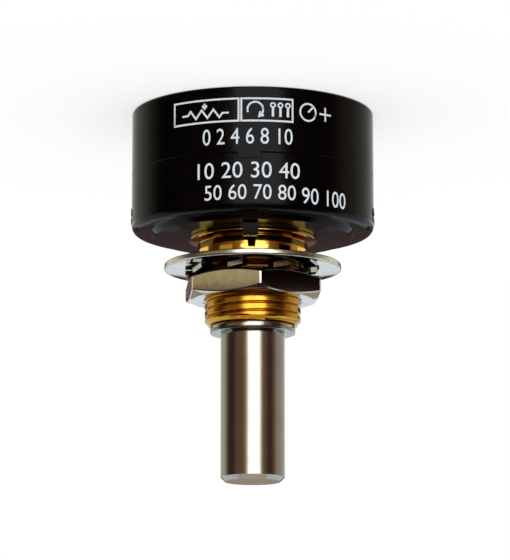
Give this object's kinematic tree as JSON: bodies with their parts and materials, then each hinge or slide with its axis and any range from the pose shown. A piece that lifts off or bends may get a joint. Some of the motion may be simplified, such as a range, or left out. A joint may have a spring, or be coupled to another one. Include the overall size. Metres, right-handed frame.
{
  "type": "rotary potentiometer",
  "caption": "Rotary potentiometer with a round black case, threaded brass bushing, nut and washers, a plain round shaft and side solder lugs.",
  "frame": {"origin": "on the shaft's axis, at the rear face of the case", "axes": "+Z along the shaft towards its tip; -Y towards the anti-rotation lug; +Y towards the middle terminal; +X completes a right-handed frame"},
  "size_m": [0.023, 0.0273, 0.035],
  "materials": {
    "case_plastic": "moulded black thermoset, satin gloss",
    "brass": "turned brass, bright",
    "stainless": "ground stainless steel",
    "spring_steel": "hardened spring steel",
    "nickel_plate": "bright nickel plate",
    "gold_plate": "gold plate",
    "hub_plastic": "moulded nylon",
    "contact_alloy": "precious contact alloy",
    "board": "phenolic laminate",
    "resistive_print": "conductive plastic print",
    "silver_print": "silver print"
  },
  "bodies": {
    "case": {"rear_case": "case_plastic", "front_case": "case_plastic", "bushing": "brass", "element_board": "board", "resistance_track": "resistive_print", "collector_track": "silver_print", "end_pad_1": "silver_print", "end_pad_3": "silver_print", "terminal_1": "gold_plate", "terminal_2": "gold_plate", "terminal_3": "gold_plate", "terminal_rivets": "brass", "flat_washer": "nickel_plate", "lock_washer": "nickel_plate", "hex_nut": "nickel_plate"},
    "rotor": {"shaft": "stainless", "outer_ring": "spring_steel", "inner_ring": "spring_steel", "thrust_washer": "brass", "wave_washer": "spring_steel", "rotor_hub": "hub_plastic", "wiper_carrier": "contact_alloy", "track_brush": "contact_alloy", "collector_brush": "contact_alloy"}
  },
  "joints": [
    {"name": "shaft_turn", "type": "hinge", "parent": "case", "child": "rotor", "pos_m": [0, 0, 0.0144], "axis": [0, 0, 1], "continuous": true}
  ]
}
